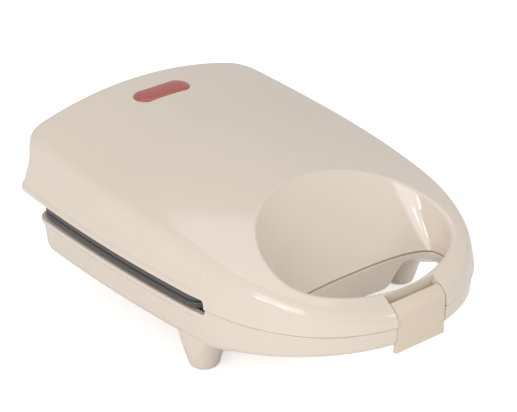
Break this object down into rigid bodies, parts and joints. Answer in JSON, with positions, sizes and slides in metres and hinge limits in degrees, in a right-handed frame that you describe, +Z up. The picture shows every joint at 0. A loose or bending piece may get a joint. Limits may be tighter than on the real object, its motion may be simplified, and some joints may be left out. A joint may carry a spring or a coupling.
{
  "type": "electric pie maker",
  "caption": "Electric pie maker: hinged lid with a ring handle and front latch over coated plates with round wells, on a footed base.",
  "frame": {"origin": "on the table, below the middle of the closed appliance's bounding box", "axes": "+Z up, -Y towards the handle and latch, +Y towards the hinge, +X to the right seen from the front"},
  "size_m": [0.1652, 0.2363, 0.0884],
  "materials": {
    "housing_plastic": "glossy cream ABS",
    "latch_plastic": "satin cream ABS, a little yellower",
    "foot_rubber": "matte",
    "coated_plate": "dark non-stick coating on cast aluminium",
    "screw_steel": "zinc plated",
    "element_steel": "oxidised tube",
    "strap_steel": "plain",
    "shield_aluminium": "bright sheet",
    "fuse_case": "plated can",
    "terminal_plastic": "matte",
    "terminal_brass": "plain",
    "bush_rubber": "matte",
    "clamp_plastic": "matte",
    "wire_sleeve": "glass-fibre sleeve",
    "pin_steel": "polished",
    "thermostat_case": "phenolic",
    "lens_red": "translucent red",
    "lamp_glass": "clear",
    "holder_plastic": "matte"
  },
  "bodies": {
    "base": {"base_shell": "housing_plastic", "foot_pads": "foot_rubber", "lower_plate": "coated_plate", "lower_plate_screws": "screw_steel", "lower_heater": "element_steel", "lower_heater_straps": "strap_steel", "lower_strap_screws": "screw_steel", "lower_reflector": "shield_aluminium", "lower_reflector_screws": "screw_steel", "thermal_fuse": "fuse_case", "thermal_fuse_clip": "strap_steel", "thermal_fuse_screw": "screw_steel", "terminal_block": "terminal_plastic", "terminal_screws": "terminal_brass", "cord_grommet": "bush_rubber", "cord_clamp": "clamp_plastic", "cord_clamp_screws": "screw_steel", "base_wires": "wire_sleeve", "hinge_pins": "pin_steel"},
    "lid": {"lid_shell": "housing_plastic", "upper_plate": "coated_plate", "upper_plate_screws": "screw_steel", "upper_heater": "element_steel", "upper_heater_straps": "strap_steel", "upper_strap_screws": "screw_steel", "upper_reflector": "shield_aluminium", "upper_reflector_screws": "screw_steel", "thermostat": "thermostat_case", "thermostat_screws": "screw_steel", "indicator_lens": "lens_red", "indicator_lamps": "lamp_glass", "lamp_holder": "holder_plastic", "lamp_holder_screws": "screw_steel", "lid_wires": "wire_sleeve", "latch_pin": "pin_steel"},
    "latch": {"latch_clip": "latch_plastic"}
  },
  "joints": [
    {"name": "lid_hinge", "type": "hinge", "parent": "base", "child": "lid", "pos_m": [0, 0.104, 0.044], "axis": [-1, 0, 0], "range_deg": [0, 100]},
    {"name": "latch_pivot", "type": "hinge", "parent": "lid", "child": "latch", "pos_m": [0, -0.1098, 0.0451], "axis": [-1, 0, 0], "range_deg": [0, 30]}
  ]
}
